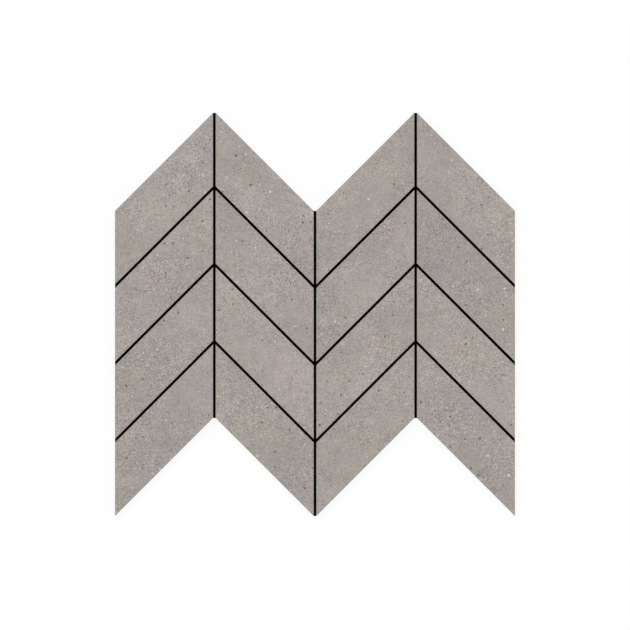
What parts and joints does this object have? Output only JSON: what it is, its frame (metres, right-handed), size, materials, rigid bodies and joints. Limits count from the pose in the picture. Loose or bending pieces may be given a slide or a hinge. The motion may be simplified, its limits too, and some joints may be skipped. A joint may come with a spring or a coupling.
{
  "type": "chevron mosaic tile sheet",
  "caption": "Flat mosaic sheet of mitred concrete-look porcelain chips in a chevron pattern, on a thin black mesh backing with narrow open joints, for bonding to a wall or floor.",
  "frame": {"origin": "on the resting plane under the backing, at the middle of the sheet's outline", "axes": "+Z out of the tile face, +Y the way the chevrons point, +X across the columns"},
  "size_m": [0.3, 0.3024, 0.0098],
  "materials": {
    "porcelain": "matte",
    "backing": "matte"
  },
  "bodies": {
    "root": {"backing_sheet": "backing", "chevron_chip_row1_column1": "porcelain", "chevron_chip_row1_column2": "porcelain", "chevron_chip_row1_column3": "porcelain", "chevron_chip_row1_column4": "porcelain", "chevron_chip_row2_column1": "porcelain", "chevron_chip_row2_column2": "porcelain", "chevron_chip_row2_column3": "porcelain", "chevron_chip_row2_column4": "porcelain", "chevron_chip_row3_column1": "porcelain", "chevron_chip_row3_column2": "porcelain", "chevron_chip_row3_column3": "porcelain", "chevron_chip_row3_column4": "porcelain", "chevron_chip_row4_column1": "porcelain", "chevron_chip_row4_column2": "porcelain", "chevron_chip_row4_column3": "porcelain", "chevron_chip_row4_column4": "porcelain"}
  },
  "joints": []
}
